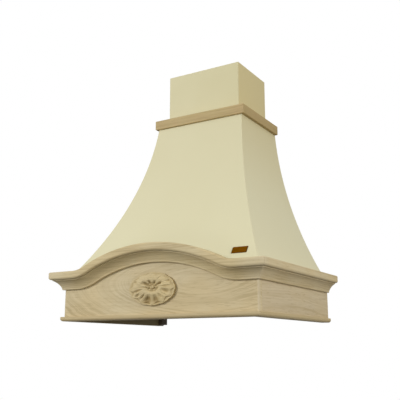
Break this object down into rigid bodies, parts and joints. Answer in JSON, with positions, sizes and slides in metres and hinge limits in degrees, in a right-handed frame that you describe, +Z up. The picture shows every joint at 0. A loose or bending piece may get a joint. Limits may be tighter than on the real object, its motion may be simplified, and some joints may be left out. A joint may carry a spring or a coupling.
{
  "type": "range hood cover",
  "caption": "Flared cover for a kitchen extractor, with an arched wooden base and cornice, a carved rosette, a wooden collar and a telescoping square chimney.",
  "frame": {"origin": "on the wall plane, midway between the two upper hanger holes, 547 mm above the bottom edge", "axes": "+X to the right as seen from the room, +Y into the wall, +Z up"},
  "size_m": [0.668, 0.499, 0.78],
  "materials": {
    "oiled_wood": "pale oiled hardwood, satin",
    "bare_collar_wood": "bare sanded wood",
    "inner_wood": "planed unfinished wood",
    "cream_paint": "smooth cream powder coat, satin",
    "zinc_steel": "zinc-plated sheet steel",
    "nylon": "natural nylon",
    "brass_badge": "aged brass, blank"
  },
  "bodies": {
    "cover": {"badge_plate": "brass_badge", "batten_screws": "zinc_steel", "body_flange_screws": "zinc_steel", "body_front": "cream_paint", "chimney_glides": "nylon", "collar_back": "bare_collar_wood", "collar_front": "bare_collar_wood", "collar_left": "bare_collar_wood", "collar_right": "bare_collar_wood", "collar_screws": "zinc_steel", "corner_block_screws": "zinc_steel", "front_board": "oiled_wood", "front_cornice": "oiled_wood", "front_ledger": "inner_wood", "front_lip": "oiled_wood", "hanger_plate_screws": "zinc_steel", "hanging_rail": "inner_wood", "hanging_rail_screws": "zinc_steel", "insert_rail_screws": "zinc_steel", "ledger_screws": "zinc_steel", "left_board": "oiled_wood", "left_body_side": "cream_paint", "left_corner_block": "inner_wood", "left_cornice": "oiled_wood", "left_hanger_plate": "zinc_steel", "left_insert_rail": "inner_wood", "left_lip": "oiled_wood", "left_seam_strip": "zinc_steel", "left_wall_batten": "inner_wood", "neck_front_rail": "inner_wood", "neck_left_rail": "inner_wood", "neck_right_rail": "inner_wood", "rear_rail": "inner_wood", "rear_rail_dowels": "inner_wood", "right_board": "oiled_wood", "right_body_side": "cream_paint", "right_corner_block": "inner_wood", "right_cornice": "oiled_wood", "right_hanger_plate": "zinc_steel", "right_insert_rail": "inner_wood", "right_lip": "oiled_wood", "right_seam_strip": "zinc_steel", "right_wall_batten": "inner_wood", "rosette": "oiled_wood"},
    "chimney": {"chimney_cover": "cream_paint", "chimney_bracket": "zinc_steel", "chimney_bracket_screws": "zinc_steel"}
  },
  "joints": [
    {"name": "chimney_slide", "type": "slide", "parent": "cover", "child": "chimney", "axis": [0, 0, 1], "range_m": [-0.1, 0.22]}
  ]
}
